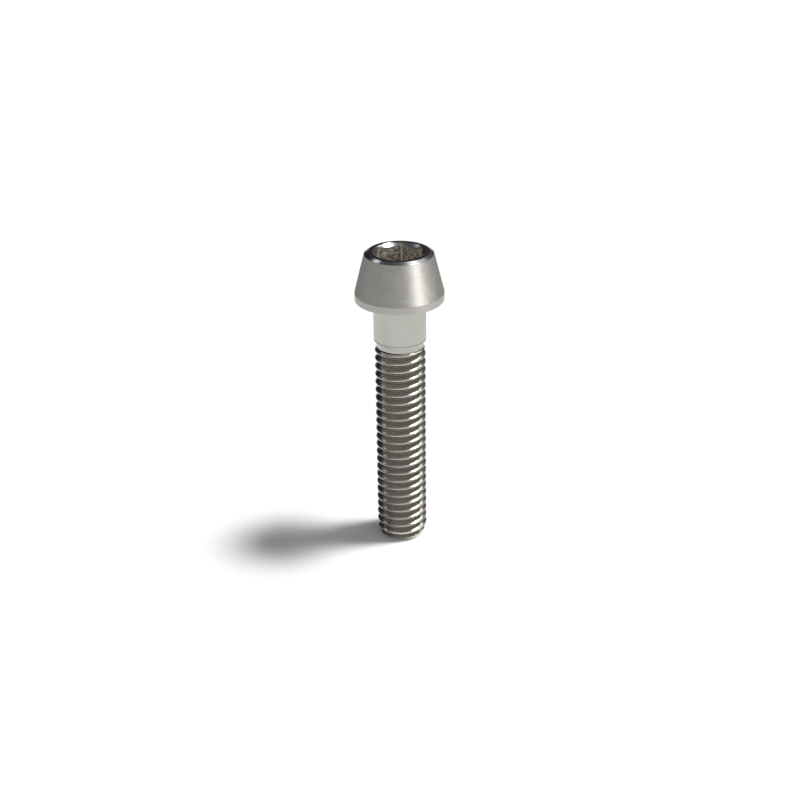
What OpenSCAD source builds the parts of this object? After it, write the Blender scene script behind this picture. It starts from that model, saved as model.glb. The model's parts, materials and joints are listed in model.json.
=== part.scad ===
// Tapered socket head cap screw, M6 x 1, thirty millimetres long under the head.
// Millimetres, +Z up. The screw stands on its tip: the origin is the centre of the tip's flat face.

/* [Body] */
// Nominal diameter, which is also the plain shank's
nominal_d = 6; // [5:0.1:8]
// Length from the bearing face under the head to the tip
length = 30; // [16:0.5:80]
// Length of the plain shank under the head
shank_len = 4.85; // [1:0.05:9]
// Fillet between the bearing face and the shank
head_fillet = 0.25; // [0.1:0.05:0.5]
// Height of the fine groove around the shank above the shank's lower end
groove_rise = 0.17; // [0.12:0.01:0.4]
// Width of the fine groove
groove_w = 0.14; // [0.06:0.02:0.2]
// Depth of the fine groove
groove_depth = 0.05; // [0.02:0.01:0.1]
// How much narrower than the shank the neck is, on the diameter
neck_undercut = 0.64; // [0.2:0.02:0.8]
// Length of the taper from the shank down to the neck
neck_taper_len = 0.3; // [0.2:0.05:1]
// Length of the neck between its taper and the thread
neck_len = 0.45; // [0.05:0.05:1]

/* [Thread] */
// Distance between two turns of the thread
pitch = 1; // [0.7:0.05:1.25]
// How much narrower than the shank the thread's crests are, on the diameter
crest_allowance = 0.1; // [0.02:0.01:0.18]
// Height of a crest above the tip, on the +X side
crest_start = 0.35; // [0:0.05:1]
// Length over which the thread fades out at the neck
runout_len = 0.3; // [0.2:0.1:2]
// How far the tip is drawn in at its end, on the radius
tip_inset = 0.4; // [0.1:0.05:0.6]
// Length of the drawn-in tip
tip_len = 1.4; // [0.5:0.1:2.5]

/* [Head] */
// Diameter of the rim around the bottom of the head
head_d = 10.15; // [9:0.05:13]
// Height of the head, from the bearing face to the top
head_h = 5.7; // [5:0.1:8]
// Height of the straight rim
rim_h = 0.95; // [0.5:0.05:1.5]
// Rounding of the rim's lower edge
rim_round = 0.12; // [0.05:0.01:0.2]
// Diameter of the upper end of the head's cone
cone_top_d = 7.88; // [7.4:0.02:8.8]
// Width of the bevel around the top, on the radius
bevel_w = 0.43; // [0.2:0.01:0.5]
// Slope of the bevel, in degrees
bevel_slope = 30; // [15:1:45]

/* [Socket] */
// Hexagon socket, across its flats
socket_af = 5; // [4:0.1:5.4]
// Depth of the hexagon below the top of the head
socket_depth = 3.2; // [2:0.1:4]
// Gap between the drilled hole and the flats of the hexagon, which is broached after it
drill_gap = 0.04; // [0.02:0.01:0.2]
// Point angle of the drilled hole at the bottom of the socket
socket_point = 130; // [118:1:150]
// Diameter of the countersink around the mouth of the socket
mouth_d = 6; // [5.9:0.05:6.5]
// Slope of the countersink, in degrees
mouth_slope = 37; // [25:1:50]

/* [Hidden] */
$fn = 96;

shank_r = nominal_d / 2;
neck_r = (nominal_d - neck_undercut) / 2;
// Heights above the tip
shank_bottom = length - shank_len;
neck_top = shank_bottom - neck_taper_len;
thread_top = neck_top - neck_len;
head_top = length + head_h;
bevel_bottom = head_top - bevel_w * tan(bevel_slope);

// The metric thread form: a sharp 60 degree triangle, cut off at the crest and the root
flank_angle = 30;
thread_depth = 0.6134 * pitch;
crest_flat = pitch / 8;
root_flat = pitch - crest_flat - 2 * thread_depth * tan(flank_angle);
crest_r = (nominal_d - crest_allowance) / 2;
root_r = crest_r - thread_depth;
// The thread's top end is a hair wider than the neck, which runs this far down into it
seat_ledge = 0.05;
seat_depth = 0.1;
thread_top_r = neck_r + seat_ledge;
// Facets around the thread, points in one turn of its profile, and rows of points along it
columns = 36;
profile_points = 4;
turns = ceil(thread_top / pitch) + 3;
rows = profile_points * turns;

// Radius of the drawn-in tip at a height
function tip_limit(z) = crest_r - tip_inset * max(0, 1 - z / tip_len);

// Radius of an endless thread at a distance along the axis from the middle of a crest
function ridge_r(d) =
    max(root_r, min(crest_r, crest_r - (abs(d) - crest_flat / 2) / tan(flank_angle)));

// Share of the thread's depth that is left at a height: none at the neck, all below the run-out
function thread_share(z) = max(0, min(1, (thread_top - seat_depth - z) / runout_len));

// Radius of the threaded part at a height, beside a crest at another height
function thread_r(z, crest_z) =
    let (d = z - crest_z)
    let (full = ridge_r(d - pitch * round(d / pitch)))
    min(tip_limit(z), thread_top_r + thread_share(z) * (full - thread_top_r));

// Half the width of a crest, which grows where the tip cuts it off
function crest_half(crest_z) =
    crest_flat / 2 + (crest_r - tip_limit(crest_z)) * tan(flank_angle);

// Height of the middle of a crest: turn by turn up, and once around with the columns
function crest_height(column, turn) = crest_start + pitch * (turn - 2 + column / columns);

// Height of one point of the profile, before the ends are trimmed
function profile_height(column, row) =
    let (corner = row % profile_points)
    let (crest_z = crest_height(column, floor(row / profile_points)))
    corner == 0 ? crest_z - crest_half(crest_z) :
    corner == 1 ? crest_z + crest_half(crest_z) :
    crest_z + pitch / 2 + (corner == 2 ? -1 : 1) * root_flat / 2;

function trimmed_height(column, row) = max(0, min(thread_top, profile_height(column, row)));

function thread_point(column, row) =
    let (z = trimmed_height(column, row))
    let (r = thread_r(z, crest_height(column, 0)))
    let (a = 360 * column / columns)
    [r * cos(a), r * sin(a), z];

// Number of a point, with all trimmed points of a column taken as its first or last one
function point_number(column, row) =
    column == columns ? point_number(0, min(rows - 1, row + profile_points)) :
    let (z = trimmed_height(column, row))
    column * rows + (z == 0 ? 0 : z == thread_top ? rows - 1 : row);

function is_triangle(t) = t[0] != t[1] && t[1] != t[2] && t[2] != t[0];

// Threaded length with its run-out and drawn-in tip, one closed surface wound around the axis
module thread() {
    tip_centre = columns * rows;
    top_centre = tip_centre + 1;
    points = [
        for (column = [0 : columns - 1], row = [0 : rows - 1]) thread_point(column, row),
        [0, 0, 0],
        [0, 0, thread_top]
    ];
    walls = [
        for (column = [0 : columns - 1], row = [0 : rows - 2])
            let (a = point_number(column, row))
            let (b = point_number(column, row + 1))
            let (c = point_number(column + 1, row + 1))
            let (d = point_number(column + 1, row))
            each [[a, b, c], [a, c, d]]
    ];
    ends = [
        for (column = [0 : columns - 1])
            each [
                [tip_centre, point_number(column, 0), point_number(column + 1, 0)],
                [top_centre, point_number(column + 1, rows - 1), point_number(column, rows - 1)]
            ]
    ];
    polyhedron(points, [for (t = concat(walls, ends)) if (is_triangle(t)) t]);
}

// The corner that rounding takes off an outside edge, or a fillet adds to an inside one
module round_corner(r) {
    difference() {
        square(r);
        translate([r, r]) circle(r);
    }
}

// Half section of the head: rim, cone and bevel
module head_section() {
    difference() {
        polygon([
            [0, length],
            [head_d / 2, length],
            [head_d / 2, length + rim_h],
            [cone_top_d / 2, bevel_bottom],
            [cone_top_d / 2 - bevel_w, head_top],
            [0, head_top]
        ]);
        translate([head_d / 2, length]) mirror([1, 0]) round_corner(rim_round);
    }
}

// Half section of the shank, its fillet and fine groove, the taper below it and the neck
module shank_section() {
    groove_z = shank_bottom + groove_rise;
    polygon([
        [0, thread_top - seat_depth],
        [neck_r, thread_top - seat_depth],
        [neck_r, neck_top],
        [shank_r, shank_bottom],
        [shank_r, groove_z - groove_w / 2],
        [shank_r - groove_depth, groove_z],
        [shank_r, groove_z + groove_w / 2],
        [shank_r, length],
        [0, length]
    ]);
    translate([shank_r, length]) mirror([0, 1]) round_corner(head_fillet);
}

// Half section of the drilled hole: a point below the hexagon, and straight sides that end inside it
module drilled_section() {
    drill_r = socket_af / 2 - drill_gap;
    point_depth = drill_r / tan(socket_point / 2);
    inside = socket_depth / 2;
    polygon([[0, -point_depth], [drill_r, 0], [drill_r, inside], [0, inside]]);
}

// Hexagon with two flats facing X, a drilled bottom and a countersunk mouth
module socket() {
    mouth_depth = mouth_d / 2 * tan(mouth_slope);
    translate([0, 0, head_top - socket_depth]) {
        rotate(30) cylinder(r = socket_af / 2 / cos(30), h = socket_depth + head_h, $fn = 6);
        rotate_extrude() drilled_section();
    }
    // The countersink's cone goes on above the head as far as it goes below
    translate([0, 0, head_top - mouth_depth]) cylinder(r1 = 0, r2 = mouth_d, h = 2 * mouth_depth);
}

module cap_screw() {
    color("silver") {
        difference() {
            rotate_extrude() {
                head_section();
                shank_section();
            }
            socket();
        }
        thread();
    }
}

cap_screw();
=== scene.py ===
"""Look of the tapered socket head cap screw.

One finely wound mesh stands for the CAD solid, with a metal for each way it was machined. It stands on
a white floor in a dim room. A long soft light comes from above on the right, two faint ones from behind.
Lengths are in millimetres until the mesh, the camera and the floor are made, which are in metres.
"""

import json
import math

import bmesh
import bpy
import numpy as np
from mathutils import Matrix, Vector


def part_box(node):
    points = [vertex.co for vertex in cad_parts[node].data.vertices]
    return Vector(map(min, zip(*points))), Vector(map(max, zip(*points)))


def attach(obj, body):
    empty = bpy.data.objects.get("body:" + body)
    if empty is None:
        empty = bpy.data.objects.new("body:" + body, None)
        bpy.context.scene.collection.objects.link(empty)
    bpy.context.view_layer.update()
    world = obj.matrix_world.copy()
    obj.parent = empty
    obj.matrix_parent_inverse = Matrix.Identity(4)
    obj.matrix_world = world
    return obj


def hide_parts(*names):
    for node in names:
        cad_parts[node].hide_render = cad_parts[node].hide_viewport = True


MM = 0.001
NODE = "cap_screw"

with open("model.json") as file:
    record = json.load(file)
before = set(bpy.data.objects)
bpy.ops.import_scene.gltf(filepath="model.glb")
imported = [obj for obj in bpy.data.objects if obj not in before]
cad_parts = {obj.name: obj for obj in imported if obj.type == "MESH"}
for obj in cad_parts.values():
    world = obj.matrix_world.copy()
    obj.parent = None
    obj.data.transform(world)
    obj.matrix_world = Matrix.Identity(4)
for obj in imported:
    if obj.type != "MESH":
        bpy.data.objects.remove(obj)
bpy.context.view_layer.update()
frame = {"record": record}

# Sizes that the frame gives
mounts = {mount["name"]: mount for mount in frame["record"]["mounts"]}
_, node_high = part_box(NODE)
HEAD_TOP = node_high.z / MM
HEAD_R = node_high.x / MM
BEARING_Z = mounts["bearing_face"]["pos_m"][2] / MM
SHANK_R = mounts["shank"]["dims"]["r_mm"]
CREST_R = mounts["thread"]["dims"]["r_mm"]
THREAD_TOP = mounts["thread"]["dims"]["length_mm"]
SOCKET_DEPTH = mounts["hex_socket"]["dims"]["length_mm"]

# Head
RIM_H = 0.95
RIM_ROUND = 0.12
RIM_TOP_ROUND = 0.05
# The cone's metal reaches this far down over the rim's upper edge
RIM_TOP_BAND = 0.1
CONE_TOP_R = 3.94
# A short stretch of the cone, which the bevel's lower edge is rounded into
CONE_LEAD_W = 0.02
CONE_LEAD_H = 0.08
BEVEL_W = 0.43
BEVEL_SLOPE = math.radians(30)
BEVEL_TOP_ROUND = 0.06
BEVEL_BOTTOM_ROUND = 0.05
HEAD_FILLET = 0.25

# Shank, with a fine groove near its lower end, and neck
GROOVE_RISE = 0.17
GROOVE_W = 0.14
GROOVE_DEPTH = 0.05
GROOVE_ROUND = 0.01
SHANK_END_ROUND = 0.08
NECK_R = 2.68
NECK_TAPER_LEN = 0.3
NECK_LEN = 0.45
NECK_ROUND = 0.2
# A row this close above the thread keeps the shading of the neck flat
NECK_EDGE = 0.03

# Thread, of the metric form with a round root
PITCH = 1.0
FLANK_ANGLE = math.radians(30)
THREAD_DEPTH = 0.6134 * PITCH
CREST_ROUND = 0.06
CREST_FLAT = PITCH / 8
ROOT_ROUND = 0.1443 * PITCH
CREST_START = 0.35
RUNOUT_LEN = 0.3
TIP_INSET = 0.4
TIP_LEN = 1.4
TIP_ROUND = 0.12
TIP_BLEND = 0.01

# Socket
SIXTH = math.pi / 3
FLAT_R = 2.5
DRILL_R = 2.46
CORNER_ROUND = 0.15
SOCKET_POINT = math.radians(130)
MOUTH_R = 3.0
MOUTH_SLOPE = math.radians(37)
MOUTH_ROUND = 0.04
# A short stretch of the countersink, which its upper edge is rounded into
MOUTH_LEAD_W = 0.05
# Rounding between a wall and the countersink, and its largest share of the countersink's width
LIP_ROUND = 0.12
LIP_SHARE = 0.4

# Fineness of the mesh: even columns around, and closer ones at the socket's six corners
EVEN_COLUMNS = 120
CORNER_COLUMNS = np.radians([-1.7, -0.85, 0.85, 1.7])
ARC_STEPS = 4
QUARTERS = (0, 0.25, 0.5, 0.75, 1)
MERGE_DISTANCE = 0.0004
SHARP_ANGLE = math.radians(35)

# Camera, worked out from the photograph's perspective
CAMERA_AZIMUTH = math.radians(5.8)
CAMERA_ELEVATION = math.radians(25.463)
CAMERA_DISTANCE = 175.263
CAMERA_FOCAL_PX = 1505.8
CAMERA_ROLL = math.radians(0.708)
CAMERA_AIM_Z = 17.378
CAMERA_AIM_RIGHT = -0.087
IMAGE_PX = 800
SENSOR_MM = 36.0

# Lights: how wide they look, in degrees, how strong they are, and their colours
KEY_WIDTH = 11
KEY_STRENGTH = 1.475
FAINT_WIDTH = 14
FAINT_STRENGTH = 0.1
WHITE = (1, 1, 1)
VIOLET_WHITE = (0.86, 0.86, 1)
YELLOW_WHITE = (1, 1, 0.98)


def column_angles():
    """The angles of the columns around the axis, once around and back to the first one."""
    even = np.linspace(0, 2 * math.pi, EVEN_COLUMNS, endpoint=False)
    corners = np.radians(np.arange(30, 360, 60))
    close = np.add.outer(corners, CORNER_COLUMNS).ravel()
    return np.append(np.sort(np.concatenate([even, close])), 2 * math.pi)


ANGLES = column_angles()
COLUMNS = len(ANGLES) - 1


def soft_min(a, b, softness):
    """The smaller of two values, with a rounded change from one to the other."""
    return (a + b - np.sqrt((a - b) ** 2 + softness**2)) / 2


def smooth_step(x):
    """0 below 0 and 1 above 1, with a smooth rise between."""
    x = np.clip(x, 0, 1)
    return x * x * (3 - 2 * x)


def rounded(corners):
    """A line of (r, z) points from a list of (r, z, rounding) corners, each rounding drawn as an arc.

    A point close to both ends of every arc keeps the shading of the flat stretches flat."""
    margin = 0.02
    line = [corners[0][:2]]
    for before, (r, z, rounding), after in zip(corners, corners[1:], corners[2:]):
        here = np.array((r, z))
        back = np.array(before[:2]) - here
        ahead = np.array(after[:2]) - here
        back = back / np.linalg.norm(back)
        ahead = ahead / np.linalg.norm(ahead)
        half_angle = math.acos(np.clip(back @ ahead, -1, 1)) / 2
        reach = rounding / math.tan(half_angle)
        centre = here + (back + ahead) / np.linalg.norm(back + ahead) * rounding / math.sin(half_angle)
        start = here + back * reach - centre
        end = here + ahead * reach - centre
        line.append(tuple(here + back * (reach + margin)))
        for step in range(ARC_STEPS + 1):
            spoke = start + (end - start) * step / ARC_STEPS
            line.append(tuple(centre + spoke / np.linalg.norm(spoke) * rounding))
        line.append(tuple(here + ahead * (reach + margin)))
    line.append(corners[-1][:2])
    return line


def ring(r, z):
    """A row of points around the axis. r and z are numbers, or arrays with a value for each column."""
    return np.stack(
        [r * np.cos(ANGLES), r * np.sin(ANGLES), z * np.ones_like(ANGLES)], axis=-1
    )


def hexagon_r():
    """Radius of the hexagon at each column: flats facing X, and lightly rounded corners."""
    from_flat = np.abs((ANGLES + SIXTH / 2) % SIXTH - SIXTH / 2)
    from_corner = SIXTH / 2 - from_flat
    flat = FLAT_R / np.cos(from_flat)
    centre = (FLAT_R - CORNER_ROUND) / math.cos(SIXTH / 2)
    inside = np.maximum(CORNER_ROUND**2 - (centre * np.sin(from_corner)) ** 2, 0)
    corner = centre * np.cos(from_corner) + np.sqrt(inside)
    flat_end = math.atan((FLAT_R - CORNER_ROUND) * math.tan(SIXTH / 2) / FLAT_R)
    return np.where(from_flat < flat_end, flat, corner)


def socket_bottom_rows():
    """Rows from the point of the socket out to the foot of its walls."""
    bottom = HEAD_TOP - SOCKET_DEPTH
    point = bottom - DRILL_R / math.tan(SOCKET_POINT / 2)
    rows = [ring(DRILL_R * share, point + (bottom - point) * share) for share in QUARTERS]
    return rows + [ring(hexagon_r(), bottom)]


def mouth_z(r):
    """Height of the countersink's cone at a radius."""
    return HEAD_TOP - (MOUTH_R - r) * math.tan(MOUTH_SLOPE)


def lip_round(hex_r):
    """How far the rounding between a wall and the countersink reaches: less at the corners."""
    return np.minimum(LIP_ROUND, LIP_SHARE * (MOUTH_R - hex_r))


def socket_wall_rows():
    """Rows up the walls of the socket to the rounding below the countersink."""
    hex_r = hexagon_r()
    bottom = HEAD_TOP - SOCKET_DEPTH
    lip = mouth_z(hex_r)
    rows = [ring(hex_r, bottom + (lip - bottom) * share) for share in (0, 0.02, 0.5)]
    return rows + [ring(hex_r, lip - lip_round(hex_r))]


def top_rows():
    """Rows over the countersink, the flat ring and the bevel to the top of the cone."""
    hex_r = hexagon_r()
    lip = mouth_z(hex_r)
    reach = lip_round(hex_r)
    rows = []
    for t in QUARTERS:
        r = hex_r + t**2 * reach * math.cos(MOUTH_SLOPE)
        z = lip - (1 - t) ** 2 * reach + t**2 * reach * math.sin(MOUTH_SLOPE)
        rows.append(ring(r, z))
    bevel_bottom = HEAD_TOP - BEVEL_W * math.tan(BEVEL_SLOPE)
    lead_r = MOUTH_R - MOUTH_LEAD_W
    line = rounded(
        [
            (lead_r, mouth_z(lead_r), 0),
            (MOUTH_R, HEAD_TOP, MOUTH_ROUND),
            (CONE_TOP_R - BEVEL_W, HEAD_TOP, BEVEL_TOP_ROUND),
            (CONE_TOP_R, bevel_bottom, BEVEL_BOTTOM_ROUND),
            (CONE_TOP_R + CONE_LEAD_W, bevel_bottom - CONE_LEAD_H, 0),
        ]
    )
    return rows + [ring(r, z) for r, z in line[1:-1]]


def lathe_rows(corners):
    """Rows of a turned stretch, from its corners."""
    return [ring(r, z) for r, z in rounded(corners)]


def tip_limit(z):
    """Radius that the drawn-in tip leaves at a height, with its end rounded off."""
    slope = CREST_R - TIP_INSET * np.clip(1 - z / TIP_LEN, 0, 1)
    below = np.clip(TIP_ROUND - z, 0, TIP_ROUND)
    return slope - TIP_ROUND + np.sqrt(TIP_ROUND**2 - below**2)


def ridge_r(d):
    """Radius of an endless thread at a distance along the axis from the middle of a crest."""
    from_root = np.clip(PITCH / 2 - np.abs(d), 0, None)
    flank = CREST_R - (np.abs(d) - CREST_FLAT / 2) / math.tan(FLANK_ANGLE)
    root_r = CREST_R - THREAD_DEPTH
    arc = root_r + ROOT_ROUND - np.sqrt(np.maximum(ROOT_ROUND**2 - from_root**2, 0))
    side = np.where(from_root < ROOT_ROUND * math.cos(FLANK_ANGLE), arc, flank)
    return soft_min(CREST_R, side, CREST_ROUND)


def thread_r(z, crest_z):
    """Radius of the threaded part at a height, beside a crest at another height."""
    d = z - crest_z
    full = ridge_r(d - PITCH * np.round(d / PITCH))
    fade = smooth_step((THREAD_TOP - z) / RUNOUT_LEN)
    run_out = NECK_R + fade * (CREST_R - NECK_R)
    return soft_min(tip_limit(z), np.minimum(full, run_out), TIP_BLEND)


def helix_rows(turn, steps):
    """Rows that wind once around the thread at steps above or below the crest of one turn.

    A row's heights are trimmed to the thread's two ends, so that rows run together there."""
    crest_z = CREST_START + PITCH * (turn + ANGLES / (2 * math.pi))
    rows = []
    for step in steps:
        z = np.clip(crest_z + step, 0, THREAD_TOP)
        rows.append(ring(thread_r(z, crest_z), z))
    return rows


def thread_bands(crest_metal, root_metal, flank_metal):
    """Bands from the neck down to the flat of the tip.

    Each turn is a crest, the root below it and a flank. The steps are heights beside the crest's middle."""
    crest_steps = PITCH * np.array([0.11, 0.0625, 0, -0.0625, -0.11])
    root_steps = -PITCH * np.array([0.11, 0.18, 0.26, 0.36, 0.4, 0.45, 0.5, 0.55, 0.6])
    flank_steps = -PITCH * np.array([0.6, 0.64, 0.72, 0.8, 0.85, 0.89])
    first_turn = math.ceil(THREAD_TOP / PITCH) + 1
    last_turn = -2
    bands = [([ring(NECK_R, THREAD_TOP), helix_rows(first_turn, crest_steps)[0]], root_metal)]
    for turn in range(first_turn, last_turn - 1, -1):
        # On the tip, roots and flanks take the crests' lighter colour too: painted highlight.
        on_tip = turn < 0
        bands.append((helix_rows(turn, crest_steps), crest_metal))
        bands.append((helix_rows(turn, root_steps), crest_metal if on_tip else root_metal))
        bands.append((helix_rows(turn, flank_steps), crest_metal if on_tip else flank_metal))
    tip_edge = bands[-1][0][-1]
    bands.append(([tip_edge, ring(0, 0)], flank_metal))
    return bands


# Most of the noise lies between these two values
NOISE_LOW = 0.3
NOISE_HIGH = 0.7


def metal(name, colour, roughness, anisotropy=0.0):
    """A bare metal with nothing on it yet: the material, its nodes, its links and its shader."""
    material = bpy.data.materials.new(name)
    material.use_nodes = True
    nodes = material.node_tree.nodes
    shader = nodes["Principled BSDF"]
    shader.inputs["Base Color"].default_value = (*colour, 1)
    shader.inputs["Metallic"].default_value = 1
    shader.inputs["Roughness"].default_value = roughness
    if anisotropy:
        tangent = nodes.new("ShaderNodeTangent")
        tangent.direction_type = "RADIAL"
        tangent.axis = "Z"
        shader.inputs["Anisotropic"].default_value = anisotropy
        # A quarter turn lays the highlights across the lines that run around the axis
        shader.inputs["Anisotropic Rotation"].default_value = 0.25
        material.node_tree.links.new(tangent.outputs["Tangent"], shader.inputs["Tangent"])
    return material, nodes, material.node_tree.links, shader


def streaks(nodes, links, scale):
    """Noise in the object's own millimetres, stretched by a scale for each axis."""
    place = nodes.new("ShaderNodeTexCoord")
    stretch = nodes.new("ShaderNodeMapping")
    stretch.inputs["Scale"].default_value = [1 / MM * s for s in scale]
    noise = nodes.new("ShaderNodeTexNoise")
    noise.inputs["Scale"].default_value = 1
    noise.inputs["Detail"].default_value = 3
    links.new(place.outputs["Object"], stretch.inputs["Vector"])
    links.new(stretch.outputs["Vector"], noise.inputs["Vector"])
    return noise.outputs["Fac"]


def vary_colour(nodes, links, shader, factor, dark, light):
    """Lets the base colour run from dark to light with a factor."""
    ramp = nodes.new("ShaderNodeValToRGB")
    ramp.color_ramp.elements[0].position = NOISE_LOW
    ramp.color_ramp.elements[0].color = (*dark, 1)
    ramp.color_ramp.elements[1].position = NOISE_HIGH
    ramp.color_ramp.elements[1].color = (*light, 1)
    links.new(factor, ramp.inputs["Fac"])
    links.new(ramp.outputs["Color"], shader.inputs["Base Color"])


def vary_roughness(nodes, links, shader, factor, low, high):
    """Lets the roughness run from low to high with a factor."""
    span = nodes.new("ShaderNodeMapRange")
    span.inputs["From Min"].default_value = NOISE_LOW
    span.inputs["From Max"].default_value = NOISE_HIGH
    span.inputs["To Min"].default_value = low
    span.inputs["To Max"].default_value = high
    links.new(factor, span.inputs["Value"])
    links.new(span.outputs["Result"], shader.inputs["Roughness"])


def emboss(nodes, links, shader, factor, depth_mm):
    """Bump of a real depth from a factor."""
    bump = nodes.new("ShaderNodeBump")
    bump.inputs["Strength"].default_value = 1
    bump.inputs["Distance"].default_value = depth_mm * MM
    links.new(factor, bump.inputs["Height"])
    links.new(bump.outputs["Normal"], shader.inputs["Normal"])


def shade(colour, factor):
    """A colour made darker or lighter."""
    return tuple(part * factor for part in colour)


# Colours of the bare metal
WARM_GREY = (0.49, 0.478, 0.437)
PALE_GREY = (0.61, 0.61, 0.558)
LIGHT_GREY = (0.705, 0.692, 0.643)
DARK_GREY = (0.52, 0.495, 0.44)
BROWN_GREY = (0.60, 0.565, 0.49)
# A near-white used as a painted highlight on the socket's corners.
HIGHLIGHT_PAINT_GREY = (1.0, 0.955, 0.825)
COOL_GREY = (0.40, 0.40, 0.405)

# Light of the room from the camera's side, at 0, to the dark corner, at 1
ROOM_LIGHT = (
    (0, (0.55, 0.55, 0.57)),
    (0.4, (0.41, 0.41, 0.42)),
    (0.6, (0.2, 0.196, 0.198)),
    (0.72, (0.13, 0.124, 0.114)),
    (0.77, (0.165, 0.16, 0.155)),
    (0.84, (0.12, 0.116, 0.116)),
    (0.93, (0.06, 0.058, 0.064)),
    (1, (0.018, 0.015, 0.024)),
)


def turned_metal():
    """The cone of the head: fine lines all the way around, left by the lathe."""
    material, nodes, links, shader = metal("turned_metal", LIGHT_GREY, 0.64, anisotropy=0.95)
    lines = streaks(nodes, links, (1.4, 1.4, 7))
    vary_colour(nodes, links, shader, lines, shade(LIGHT_GREY, 0.88), shade(LIGHT_GREY, 1.06))
    vary_roughness(nodes, links, shader, lines, 0.58, 0.7)
    emboss(nodes, links, shader, lines, 0.0015)
    return material


def polished_metal():
    """The bevel, ring and countersink on top of the head."""
    material, nodes, links, shader = metal("polished_metal", COOL_GREY, 0.22)
    lines = streaks(nodes, links, (0.5, 0.5, 3))
    vary_roughness(nodes, links, shader, lines, 0.18, 0.26)
    emboss(nodes, links, shader, lines, 0.0004)
    return material


def satin_metal(name, colour, roughness):
    """The rim, the shank, the neck and the socket's bottom: faint lines around a plain sheen."""
    material, nodes, links, shader = metal(name, colour, roughness, anisotropy=0.8)
    lines = streaks(nodes, links, (0.15, 0.15, 5))
    vary_colour(nodes, links, shader, lines, shade(colour, 0.985), shade(colour, 1.015))
    vary_roughness(nodes, links, shader, lines, roughness - 0.02, roughness + 0.02)
    return material


def rolled_metal(name, colour):
    """The roots and flanks of the thread: smooth and dark, with faint streaks along the turns; the roots'
    colour is darkened further as painted shade.
    """
    material, nodes, links, shader = metal(name, colour, 0.21)
    lines = streaks(nodes, links, (0.2, 0.2, 10))
    vary_colour(nodes, links, shader, lines, shade(colour, 0.86), shade(colour, 1.06))
    vary_roughness(nodes, links, shader, lines, 0.18, 0.24)
    emboss(nodes, links, shader, lines, 0.0006)
    return material


def highlight_painted_metal(name, colour, roughness):
    """The crests of the thread and the corners of the socket, given a lighter colour as a painted
    highlight.
    """
    material, nodes, links, shader = metal(name, colour, roughness)
    lines = streaks(nodes, links, (0.4, 0.4, 6))
    vary_colour(nodes, links, shader, lines, shade(colour, 0.9), shade(colour, 1.05))
    vary_roughness(nodes, links, shader, lines, roughness - 0.03, roughness + 0.05)
    return material


def broached_metal():
    """The walls of the socket: rough and mottled, with a brown cast."""
    material, nodes, links, shader = metal("broached_metal", BROWN_GREY, 0.6)
    marks = streaks(nodes, links, (2.5, 2.5, 2.5))
    vary_colour(nodes, links, shader, marks, shade(BROWN_GREY, 0.3), shade(BROWN_GREY, 1.5))
    vary_roughness(nodes, links, shader, marks, 0.4, 0.7)
    emboss(nodes, links, shader, marks, 0.25)
    return material


def by_column(wall_metal, corner_metal):
    """A metal for each column of the socket: one for its walls and one for its rounded corners."""
    middles = (ANGLES[:-1] + ANGLES[1:]) / 2
    from_corner = np.abs(middles % SIXTH - SIXTH / 2)
    return [corner_metal if near else wall_metal for near in from_corner < CORNER_COLUMNS[-1]]


def screw_bands():
    """The screw from the socket's point to the tip, as (rows, metal) bands that share their end rows.

    The metal is one for the whole band, or a list with one for each column."""
    rim_top = BEARING_Z + RIM_H
    rim_side = rim_top - RIM_TOP_BAND
    under_head_r = (HEAD_R + SHANK_R) / 2
    neck_top = THREAD_TOP + NECK_LEN
    shank_bottom = neck_top + NECK_TAPER_LEN
    groove_z = shank_bottom + GROOVE_RISE
    top = top_rows()
    cone_top_r, _, cone_top_z = top[-1][0]
    cone = [(cone_top_r, cone_top_z, 0), (HEAD_R, rim_top, RIM_TOP_ROUND), (HEAD_R, rim_side, 0)]
    rim = [(HEAD_R, rim_side, 0), (HEAD_R, BEARING_Z, RIM_ROUND), (under_head_r, BEARING_Z, 0)]
    shank = [
        (under_head_r, BEARING_Z, 0),
        (SHANK_R, BEARING_Z, HEAD_FILLET),
        (SHANK_R, groove_z + GROOVE_W / 2, GROOVE_ROUND),
        (SHANK_R - GROOVE_DEPTH, groove_z, GROOVE_ROUND),
        (SHANK_R, groove_z - GROOVE_W / 2, GROOVE_ROUND),
        (SHANK_R, shank_bottom, SHANK_END_ROUND),
        (NECK_R, neck_top, NECK_ROUND),
        (NECK_R, THREAD_TOP + NECK_EDGE, 0),
    ]
    # The socket's corners get a near-white colour: a painted highlight along each corner.
    corner = highlight_painted_metal("corner_metal", HIGHLIGHT_PAINT_GREY, 0.5)
    return [
        (socket_bottom_rows(), satin_metal("drilled_metal", shade(BROWN_GREY, 0.7), 0.45)),
        (socket_wall_rows(), by_column(broached_metal(), corner)),
        (top, polished_metal()),
        (lathe_rows(cone), turned_metal()),
        (lathe_rows(rim), satin_metal("rim_metal", shade(WARM_GREY, 1.14), 0.5)),
        (lathe_rows(shank) + [ring(NECK_R, THREAD_TOP)], satin_metal("shank_metal", PALE_GREY, 0.45)),
        *thread_bands(
            # The crests get a lighter colour than the flanks: a painted highlight along each crest.
            highlight_painted_metal("crest_metal", shade(WARM_GREY, 1.5), 0.2),
            # The roots' colour is the flanks' colour darkened: painted shade in the thread's grooves and
            # under the neck.
            rolled_metal("root_metal", shade(DARK_GREY, 0.42)),
            rolled_metal("flank_metal", DARK_GREY),
        ),
    ]


def slot_number(mesh, material):
    """The number of a material on the mesh, which gets it if it doesn't have it yet."""
    if material.name not in mesh.materials:
        mesh.materials.append(material)
    return mesh.materials.find(material.name)


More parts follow.
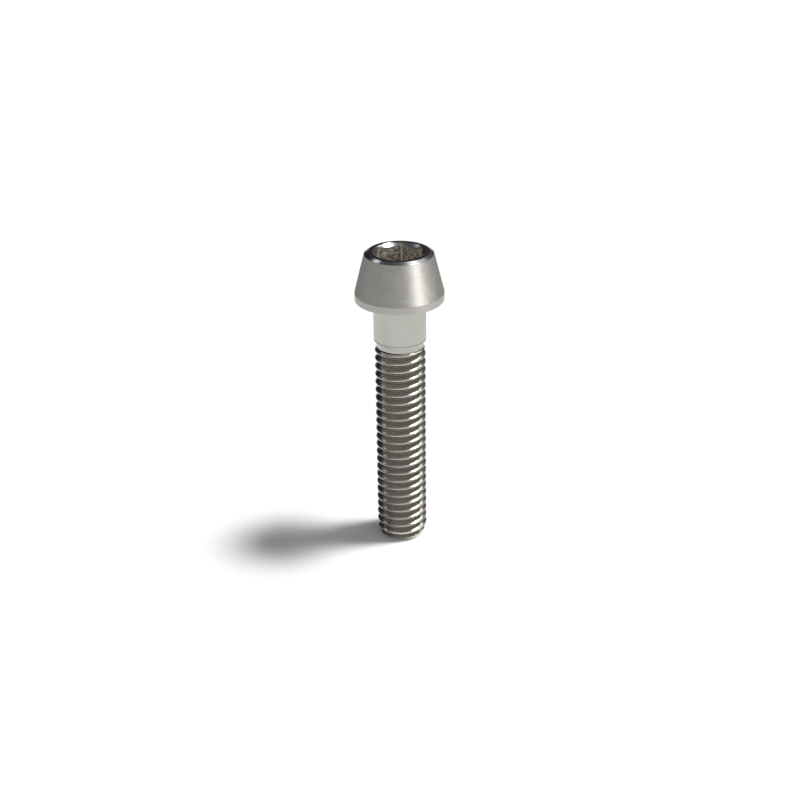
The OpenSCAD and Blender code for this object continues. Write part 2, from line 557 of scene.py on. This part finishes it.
def make_screw():
    """One closed mesh of all the bands, which takes the CAD solid's place."""
    points = []
    faces = []
    face_slots = []
    mesh = bpy.data.meshes.new("turned_screw")
    stride = COLUMNS + 1
    for rows, metals in screw_bands():
        if not isinstance(metals, list):
            metals = [metals] * COLUMNS
        slots = [slot_number(mesh, material) for material in metals]
        first = len(points)
        points.extend(np.concatenate(rows))
        for row in range(len(rows) - 1):
            for column in range(COLUMNS):
                a = first + row * stride + column
                faces.append((a, a + stride, a + stride + 1, a + 1))
            face_slots.extend(slots)
    mesh.from_pydata(np.array(points) * MM, [], faces)
    mesh.polygons.foreach_set("material_index", face_slots)
    screw = bpy.data.objects.new("turned_screw", mesh)
    bpy.context.collection.objects.link(screw)
    merge_rows(mesh)
    mesh.shade_smooth()
    mesh.set_sharp_from_angle(angle=SHARP_ANGLE)
    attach(screw, "root")
    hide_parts(NODE)


def merge_rows(mesh):
    """Joins the points that fall together: the seam, the bands' shared rows and the trimmed ends."""
    work = bmesh.new()
    work.from_mesh(mesh)
    bmesh.ops.remove_doubles(work, verts=work.verts, dist=MERGE_DISTANCE * MM)
    bmesh.ops.recalc_face_normals(work, faces=work.faces)
    work.to_mesh(mesh)
    work.free()


def make_floor():
    """A white floor that runs far out of the picture."""
    half = 4.0
    mesh = bpy.data.meshes.new("floor")
    corners = [(-half, -half, 0), (half, -half, 0), (half, half, 0), (-half, half, 0)]
    mesh.from_pydata(corners, [], [(0, 1, 2, 3)])
    floor = bpy.data.objects.new("floor", mesh)
    bpy.context.collection.objects.link(floor)
    material = bpy.data.materials.new("white_floor")
    material.use_nodes = True
    shader = material.node_tree.nodes["Principled BSDF"]
    shader.inputs["Base Color"].default_value = (0.95, 0.95, 0.95, 1)
    shader.inputs["Roughness"].default_value = 1
    shader.inputs["Specular IOR Level"].default_value = 0
    mesh.materials.append(material)


def make_sun(name, direction, width_deg, strength, colour):
    """A far soft light: the direction it comes from, how wide it looks and its strength."""
    light = bpy.data.lights.new(name, "SUN")
    light.energy = strength
    light.angle = math.radians(width_deg)
    light.color = colour
    lamp = bpy.data.objects.new(name, light)
    lamp.rotation_mode = "QUATERNION"
    lamp.rotation_quaternion = Vector(direction).to_track_quat("Z", "Y")
    bpy.context.collection.objects.link(lamp)


def from_camera(right, away, up):
    """A direction given by its parts to the camera's right, away from the camera and up."""
    turn = Matrix.Rotation(CAMERA_AZIMUTH, 3, "Z")
    return (turn @ Vector((right, away, up))).normalized()


def make_world():
    """A dim room: one soft gradient from the camera's side to a dark corner at the back on the left."""
    dark_corner = from_camera(-0.35, 0.82, 0.45)
    world = bpy.data.worlds.new("room")
    bpy.context.scene.world = world
    world.use_nodes = True
    nodes = world.node_tree.nodes
    links = world.node_tree.links
    place = nodes.new("ShaderNodeTexCoord")
    toward_dark = nodes.new("ShaderNodeVectorMath")
    toward_dark.operation = "DOT_PRODUCT"
    toward_dark.inputs[1].default_value = dark_corner
    span = nodes.new("ShaderNodeMapRange")
    span.inputs["From Min"].default_value = -1
    ramp = nodes.new("ShaderNodeValToRGB")
    stops = ramp.color_ramp.elements
    stops.remove(stops[1])
    stops[0].color = (*ROOM_LIGHT[0][1], 1)
    for position, colour in ROOM_LIGHT[1:]:
        stops.new(position).color = (*colour, 1)
    links.new(place.outputs["Generated"], toward_dark.inputs[0])
    links.new(toward_dark.outputs["Value"], span.inputs["Value"])
    links.new(span.outputs["Result"], ramp.inputs["Fac"])
    links.new(ramp.outputs["Color"], nodes["Background"].inputs["Color"])


def make_camera():
    """The photograph's camera."""
    data = bpy.data.cameras.new("camera")
    data.sensor_width = SENSOR_MM
    data.lens = CAMERA_FOCAL_PX * SENSOR_MM / IMAGE_PX
    data.clip_start = 0.01
    data.clip_end = 50
    camera = bpy.data.objects.new("camera", data)
    back = from_camera(0, -math.cos(CAMERA_ELEVATION), math.sin(CAMERA_ELEVATION))
    level_right = from_camera(1, 0, 0)
    level_up = back.cross(level_right)
    right = math.cos(CAMERA_ROLL) * level_right - math.sin(CAMERA_ROLL) * level_up
    up = math.sin(CAMERA_ROLL) * level_right + math.cos(CAMERA_ROLL) * level_up
    aim = Vector((0, 0, CAMERA_AIM_Z)) + level_right * CAMERA_AIM_RIGHT
    camera.matrix_world = Matrix((right, up, back)).transposed().to_4x4()
    camera.location = (aim + back * CAMERA_DISTANCE) * MM
    bpy.context.collection.objects.link(camera)
    bpy.context.scene.camera = camera


bpy.context.scene.view_settings.view_transform = "Standard"
make_screw()
make_floor()
make_sun("key_light_near", from_camera(0.425, 0.045, 0.9), KEY_WIDTH, KEY_STRENGTH, WHITE)
make_sun("key_light_far", from_camera(0.425, 0.105, 0.9), KEY_WIDTH, KEY_STRENGTH, WHITE)
make_sun("left_light", from_camera(-0.5, 0.42, 0.76), FAINT_WIDTH, FAINT_STRENGTH, VIOLET_WHITE)
make_sun("back_light", from_camera(0.56, 0.42, 0.71), FAINT_WIDTH, FAINT_STRENGTH, YELLOW_WHITE)
make_world()
make_camera()
